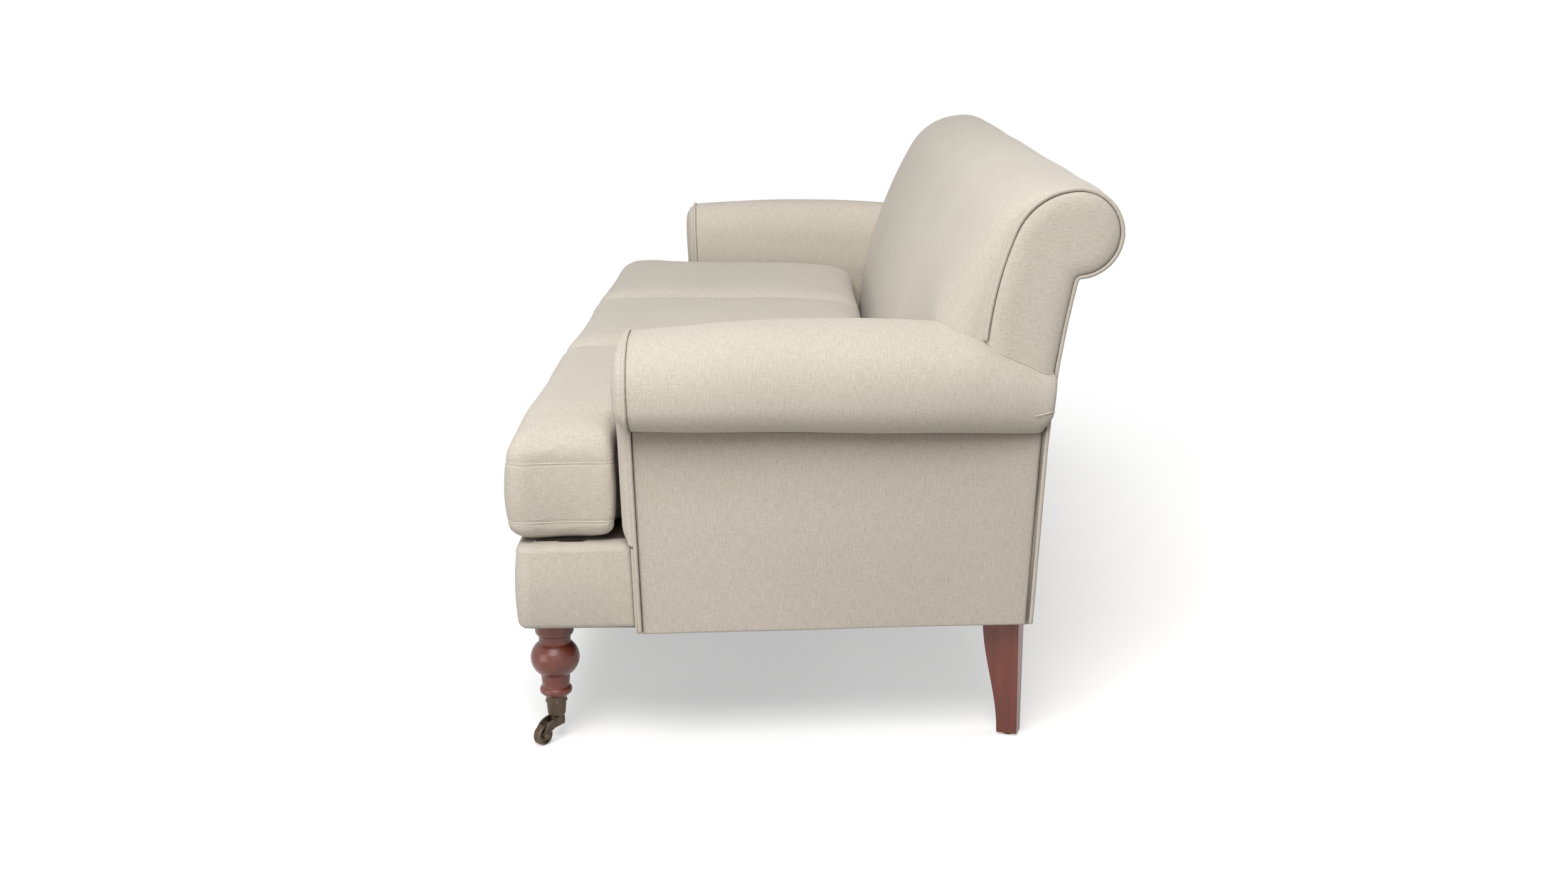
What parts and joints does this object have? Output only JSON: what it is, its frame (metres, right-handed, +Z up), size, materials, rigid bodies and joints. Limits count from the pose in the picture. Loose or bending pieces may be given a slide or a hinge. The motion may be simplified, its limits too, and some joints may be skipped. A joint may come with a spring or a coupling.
{
  "type": "sofa",
  "caption": "Sofa with loose seat cushions, rolled arms set back from the front, a rolled upholstered back, turned front legs on swivel casters and sabre rear legs",
  "frame": {"origin": "on the floor, under the middle of the sofa's box", "axes": "+X towards the right arm as one sits, +Y towards the back, +Z up; the front faces -Y"},
  "size_m": [2.2296, 0.9758, 0.913],
  "materials": {
    "linen": "woven",
    "stained_wood": "satin",
    "antique_bronze": "aged",
    "frame_timber": "raw",
    "jute": "woven",
    "foam": "matte",
    "dust_cloth": "woven",
    "steel": "wire"
  },
  "bodies": {
    "sofa": {"front_rail": "frame_timber", "seat_rear_rail": "frame_timber", "base_rear_rail": "frame_timber", "side_rail_left": "frame_timber", "side_rail_right": "frame_timber", "seat_stretchers": "frame_timber", "corner_blocks": "frame_timber", "arm_post_left": "frame_timber", "arm_post_right": "frame_timber", "arm_base_rail_left": "frame_timber", "arm_base_rail_right": "frame_timber", "arm_top_rail_left": "frame_timber", "arm_top_rail_right": "frame_timber", "back_post_left": "frame_timber", "back_post_right": "frame_timber", "back_low_rail": "frame_timber", "back_mid_rail": "frame_timber", "back_top_rail": "frame_timber", "back_webbing": "jute", "seat_springs": "steel", "spring_cover": "jute", "seat_deck": "linen", "front_border": "linen", "arm_pad_left": "linen", "arm_pad_right": "linen", "arm_facing_left": "linen", "arm_facing_right": "linen", "outside_arm_left": "linen", "outside_arm_right": "linen", "arm_welt_left": "linen", "arm_welt_right": "linen", "back_pad": "linen", "back_side_left": "linen", "back_side_right": "linen", "back_welt_left": "linen", "back_welt_right": "linen", "outside_back": "linen", "dust_cover": "dust_cloth", "front_leg_left": "stained_wood", "front_leg_right": "stained_wood", "rear_leg_left": "stained_wood", "rear_leg_right": "stained_wood", "leg_bolts": "steel", "rear_glides": "antique_bronze", "caster_cup_left": "antique_bronze", "caster_cup_right": "antique_bronze", "cup_screws": "antique_bronze"},
    "cushion_left": {"seat_cushion_left": "linen", "cushion_core_left": "foam"},
    "cushion_centre": {"seat_cushion_centre": "linen", "cushion_core_centre": "foam"},
    "cushion_right": {"seat_cushion_right": "linen", "cushion_core_right": "foam"},
    "swivel_left": {"caster_fork_left": "antique_bronze", "caster_axle_left": "antique_bronze"},
    "wheel_left": {"caster_wheel_left": "antique_bronze"},
    "swivel_right": {"caster_fork_right": "antique_bronze", "caster_axle_right": "antique_bronze"},
    "wheel_right": {"caster_wheel_right": "antique_bronze"}
  },
  "joints": [
    {"name": "cushion_lift_left", "type": "slide", "parent": "sofa", "child": "cushion_left", "axis": [0, -0.1045, 0.9945], "range_m": [0, 0.3]},
    {"name": "cushion_lift_centre", "type": "slide", "parent": "sofa", "child": "cushion_centre", "axis": [0, -0.1045, 0.9945], "range_m": [0, 0.3]},
    {"name": "cushion_lift_right", "type": "slide", "parent": "sofa", "child": "cushion_right", "axis": [0, -0.1045, 0.9945], "range_m": [0, 0.3]},
    {"name": "caster_swivel_left", "type": "hinge", "parent": "sofa", "child": "swivel_left", "pos_m": [-0.98485, -0.415, 0.042], "axis": [0, 0, 1], "continuous": true},
    {"name": "caster_swivel_right", "type": "hinge", "parent": "sofa", "child": "swivel_right", "pos_m": [0.98485, -0.415, 0.042], "axis": [0, 0, 1], "continuous": true},
    {"name": "wheel_spin_left", "type": "hinge", "parent": "swivel_left", "child": "wheel_left", "pos_m": [-1.01121, -0.43486, 0.0165], "axis": [-0.6018, 0.7986, 0], "continuous": true},
    {"name": "wheel_spin_right", "type": "hinge", "parent": "swivel_right", "child": "wheel_right", "pos_m": [1.01121, -0.43486, 0.0165], "axis": [0.6018, 0.7986, 0], "continuous": true}
  ]
}
